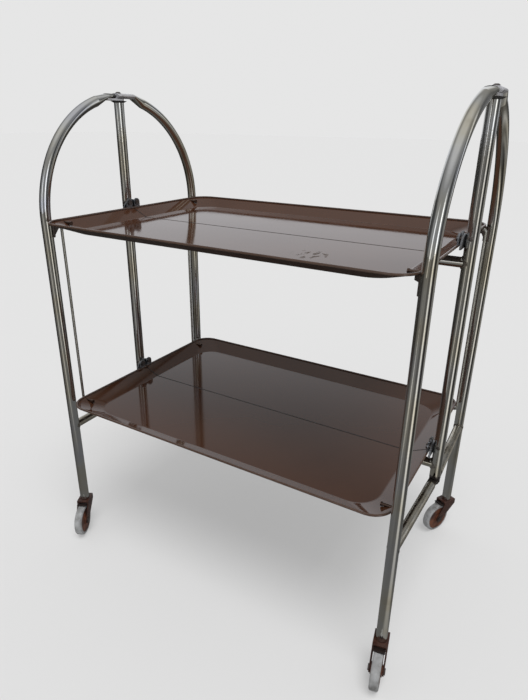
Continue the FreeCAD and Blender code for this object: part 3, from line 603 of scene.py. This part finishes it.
# %% [markdown]
# ## The split down the middle of each tray
#
# Where the two leaves meet, the narrow gap between them lies in shade, so the split reads as a dark line
# over the floor and up both end walls. A fine near-black bead along each leaf's cut edge paints that shade.
# It starts as a cube, is cut into short lengths, and every length is dropped onto the sheet.

# %% Lay a painted shade line along each cut edge
SEAM_WIDTH = 0.0009
SEAM_HEIGHT = 0.0006
SEAM_RISE = 0.0002
SEAM_OVERLAP = 0.0002
SEAM_END_GAP = 0.0026
SEAM_LENGTHS = 160
PROBE_INSET = 0.0006


def split_shade_bead(level, row):
    """A near-black line along one leaf's cut edge: painted shade in the gap of the split."""
    leaf = frame["nodes"][f"{level}_{row}_leaf"]
    low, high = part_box(f"{level}_{row}_leaf")
    outer = 1 if row == "back" else -1
    edge_at = low.y if row == "back" else high.y
    middle_y = edge_at + outer * (SEAM_WIDTH / 2 - SEAM_OVERLAP)
    alone()
    bpy.ops.mesh.primitive_cube_add(size=1, location=(0, middle_y, 0))
    bead = named(f"{level}_{row}_split_shade_line")
    bead.scale = (high.x - low.x - 2 * SEAM_END_GAP, SEAM_WIDTH, SEAM_HEIGHT)
    bake(bead)
    edit(bead, "EDGE", lambda at: abs(at.x) < 0.001)
    bpy.ops.mesh.subdivide(number_cuts=SEAM_LENGTHS)
    bpy.ops.object.mode_set(mode="OBJECT")
    for point in bead.data.vertices:
        start = Vector((point.co.x, edge_at + outer * PROBE_INSET, high.z + 0.01))
        found, place = leaf.ray_cast(start, Vector((0, 0, -1)))[:2]
        point.co.z += (place.z if found else low.z) + SEAM_RISE - SEAM_HEIGHT / 2
    return settle(bead, f"{level}_{row}_leaf", black_enamel_and_split_shade, smooth=50)


for level in ("upper", "lower"):
    for row in ("front", "back"):
        bead = split_shade_bead(level, row)
        print(bead.name, len(bead.data.polygons), "faces")

# %% [markdown]
# ## Weld beads
#
# The arms are welded to the legs and the stretchers to the posts. Each weld is a soft ring round the
# thinner tube. A ring that starts flat is pushed, ring point by ring point, onto the round side of the
# thicker tube.

# %% Lay the weld beads
WELD_THICKNESS = 0.0013


def weld(name, body, place, outward, tube_radius, carrier_radius):
    """A bead round a level tube where it meets an upright one; outward points along the level tube."""
    heading = Vector(outward).normalized()
    alone()
    bpy.ops.mesh.primitive_torus_add(major_radius=tube_radius + WELD_THICKNESS * 0.3,
                                     minor_radius=WELD_THICKNESS, major_segments=40, minor_segments=10,
                                     location=place, rotation=heading.to_track_quat("Z", "Y").to_euler())
    bead = named(name)
    bake(bead)
    aside = Vector((-heading.y, heading.x, 0))
    for point in bead.data.vertices:
        across = (point.co - Vector(place)).dot(aside)
        point.co += heading * math.sqrt(max(carrier_radius ** 2 - across ** 2, 0))
    return settle(bead, body, weld_steel, smooth=80)


arm_low, arm_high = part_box("front_right_arm")
ARM_HEIGHT = (arm_low.z + arm_high.z) / 2
ARM_RADIUS = (arm_high.z - arm_low.z) / 2
for corner in CORNERS:
    frame_of_gate = gate_frame(corner)
    leg_axis = frame_of_gate @ Vector((GATE_RADIUS, 0, ARM_HEIGHT))
    inward = (frame_of_gate @ Vector((0, 0, ARM_HEIGHT))) - leg_axis
    weld(corner + "_arm_weld", corner + "_gate", leg_axis, inward, ARM_RADIUS, LEG_RADIUS)
for level in ("upper", "lower"):
    low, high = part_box(level + "_stretcher")
    middle = (low.z + high.z) / 2
    for side, sign in (("left", -1), ("right", 1)):
        weld(f"{level}_{side}_stretcher_weld", "frame", (sign * POST_REACH, 0, middle), (-sign, 0, 0),
             (high.z - low.z) / 2, POST_RADIUS)
print("welds at", round(ARM_HEIGHT, 4))

# %% [markdown]
# ## Black fillers in the arches' cut ends
#
# Each front arch is cut off short of the post, and a black piece fills the open end, so it reads dark. It
# reaches a little further in than the steel, but stays clear of the back arch's end when the gates swing. It
# starts as a round bar squeezed to the arch's oval and is cut along the line that the back arch swings past.

# %% Fill the cut ends
tab_low, tab_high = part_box("front_right_arch_tab")
STOP_NEAR = 0.0136
STOP_FAR = 0.0305
STOP_WIDTH = 0.0088
STOP_RISE = 0.0064
STOP_SINK = 0.0008
STOP_EDGE = 0.0005
CLEAR_LINE_START = 0.0168
CLEAR_LINE_ANGLE = math.radians(39.2)


def arch_end_filler(corner):
    """The black filler in a front arch's open end."""
    side, row = CORNERS[corner]
    outer = -side * row
    middle = tab_high.z + STOP_RISE / 2
    alone()
    bpy.ops.mesh.primitive_cylinder_add(vertices=48, radius=1, depth=STOP_FAR - STOP_NEAR,
                                        location=((STOP_NEAR + STOP_FAR) / 2, 0, middle),
                                        rotation=(0, math.pi / 2, 0))
    stop = named(corner + "_arch_end_filler")
    stop.scale = (STOP_RISE / 2 + STOP_SINK, STOP_WIDTH, 1)
    bake(stop)
    edit(stop)
    bpy.ops.mesh.bisect(plane_co=(0, 0, tab_high.z), plane_no=(0, 0, -1), use_fill=True, clear_outer=True)
    bpy.ops.mesh.select_all(action="SELECT")
    bpy.ops.mesh.bisect(plane_co=(CLEAR_LINE_START, 0, 0),
                        plane_no=(-math.sin(CLEAR_LINE_ANGLE), outer * math.cos(CLEAR_LINE_ANGLE), 0),
                        use_fill=True, clear_outer=True)
    bpy.ops.object.mode_set(mode="OBJECT")
    soften(stop, STOP_EDGE)
    stop.data.transform(gate_frame(corner))
    return settle(stop, corner + "_gate", black_moulding)


for corner in ("front_left", "front_right"):
    stop = arch_end_filler(corner)
    print(stop.name, len(stop.data.polygons), "faces")

# %% [markdown]
# ## Forks with rounded edges
#
# The forks are pressed from sheet, so every edge is round and catches a line of light. The solid fork is
# copied, its loose triangles are merged, and its sharp edges are bevelled. The copy then stands for the
# solid.

# %% Round the forks' edges
FORK_EDGE = 0.0007


def rounded_fork(corner):
    """A copy of a solid fork with its sharp edges rounded, which stands for that solid."""
    node = corner + "_caster_fork"
    solid = frame["nodes"][node]
    alone(solid)
    bpy.ops.object.duplicate()
    piece = named(corner + "_rounded_fork")
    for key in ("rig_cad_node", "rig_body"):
        del piece[key]
    piece.parent = None
    edit(piece)
    bpy.ops.mesh.remove_doubles(threshold=0.00002)
    bpy.ops.mesh.select_all(action="SELECT")
    bpy.ops.mesh.dissolve_limited(angle_limit=math.radians(2))
    bpy.ops.object.mode_set(mode="OBJECT")
    soften(piece, FORK_EDGE, segments=3, angle=35)
    settle(piece, solid["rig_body"], fork_enamel, smooth=35)
    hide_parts(node)
    return piece


for corner in CORNERS:
    fork = rounded_fork(corner)
    print(fork.name, len(fork.data.polygons), "faces")

# %% [markdown]
# ## Wheel discs and wheel guards
#
# A painted disc covers each side of a wheel, so only the ring of the tyre shows round it. It starts as a
# flat round bar. Its outer face is inset and pushed back twice, and a hole lets the hub's boss through.
# Under the crown of each fork a curved guard follows the tyre. It starts as an open drum, is cut down to
# one sector and is then made solid.

# %% Helpers for the wheels
DISC_RADIUS = 0.0218
DISC_THICKNESS = 0.0011
DISC_PLACE = 0.0061
DISC_HOLE = 0.0081
DISC_RIM = 0.0022
DISC_DISH = 0.0080
DISC_RIM_STEP = 0.0004
DISC_DISH_STEP = 0.0005
WHEEL_EDGE = 0.0002
GUARD_RADIUS = 0.0299
GUARD_WIDTH = 0.0168
GUARD_THICKNESS = 0.0022
GUARD_START = math.radians(40)
GUARD_END = math.radians(84)


def wheel_frame(corner):
    """Turns a wheel's own frame, +X towards the swivel and +Y along the axle, into the trolley's."""
    middles = []
    for part in ("tyre", "caster_stem"):
        low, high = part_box(f"{corner}_{part}")
        middles.append((low + high) / 2)
    forward = middles[1] - middles[0]
    forward.z = 0
    forward.normalize()
    up = Vector((0, 0, 1))
    turn = Matrix((forward, up.cross(forward), up)).transposed().to_4x4()
    return Matrix.Translation(middles[0]) @ turn


def wheel_disc(corner, side_name, side):
    """The painted disc on one side of a wheel."""
    alone()
    bpy.ops.mesh.primitive_cylinder_add(vertices=64, radius=DISC_RADIUS, depth=DISC_THICKNESS,
                                        location=(0, side * DISC_PLACE, 0), rotation=(math.pi / 2, 0, 0))
    disc = named(f"{corner}_{side_name}_wheel_disc")
    bake(disc)
    edit(disc, "FACE", lambda at: at.y * side > DISC_PLACE + DISC_THICKNESS * 0.4)
    bpy.ops.mesh.inset(thickness=DISC_RIM)
    bpy.ops.transform.translate(value=(0, -side * DISC_RIM_STEP, 0))
    bpy.ops.mesh.inset(thickness=DISC_DISH)
    bpy.ops.transform.translate(value=(0, side * DISC_DISH_STEP, 0))
    bpy.ops.mesh.inset(thickness=DISC_RADIUS - DISC_HOLE - DISC_RIM - DISC_DISH)
    bpy.ops.object.mode_set(mode="OBJECT")
    edit(disc, "FACE", lambda at: at.y * side < DISC_PLACE - DISC_THICKNESS * 0.4)
    bpy.ops.mesh.inset(thickness=DISC_RADIUS - DISC_HOLE)
    bpy.ops.object.mode_set(mode="OBJECT")
    edit(disc, "FACE", lambda at: math.hypot(at.x, at.z) < 0.0001)
    bpy.ops.mesh.bridge_edge_loops()
    bpy.ops.object.mode_set(mode="OBJECT")
    soften(disc, WHEEL_EDGE)
    disc.data.transform(wheel_frame(corner))
    return settle(disc, corner + "_wheel", hub_enamel)


def wheel_guard(corner):
    """The curved guard between a fork's crown and the tyre."""
    alone()
    bpy.ops.mesh.primitive_cylinder_add(vertices=128, radius=GUARD_RADIUS, depth=GUARD_WIDTH,
                                        end_fill_type="NOTHING", rotation=(math.pi / 2, 0, 0))
    guard = named(corner + "_wheel_guard")
    bake(guard)
    for angle, turn in ((GUARD_END, 1), (GUARD_START, -1)):
        edit(guard)
        outwards = (-turn * math.sin(angle), 0, turn * math.cos(angle))
        bpy.ops.mesh.bisect(plane_co=(0, 0, 0), plane_no=outwards, clear_outer=True)
        bpy.ops.object.mode_set(mode="OBJECT")
    edit(guard)
    bpy.ops.mesh.normals_make_consistent(inside=False)
    bpy.ops.object.mode_set(mode="OBJECT")
    sheet = guard.modifiers.new("sheet", "SOLIDIFY")
    sheet.thickness = GUARD_THICKNESS
    sheet.offset = -1
    alone(guard)
    bpy.ops.object.modifier_apply(modifier=sheet.name)
    soften(guard, WHEEL_EDGE)
    guard.data.transform(wheel_frame(corner))
    return settle(guard, corner + "_caster", black_enamel_and_split_shade)


# %% Dress the wheels
for corner in CORNERS:
    for side_name, side in (("left", -1), ("right", 1)):
        disc = wheel_disc(corner, side_name, side)
        print(disc.name, len(disc.data.polygons), "faces")
    guard = wheel_guard(corner)
    print(guard.name, len(guard.data.polygons), "faces")
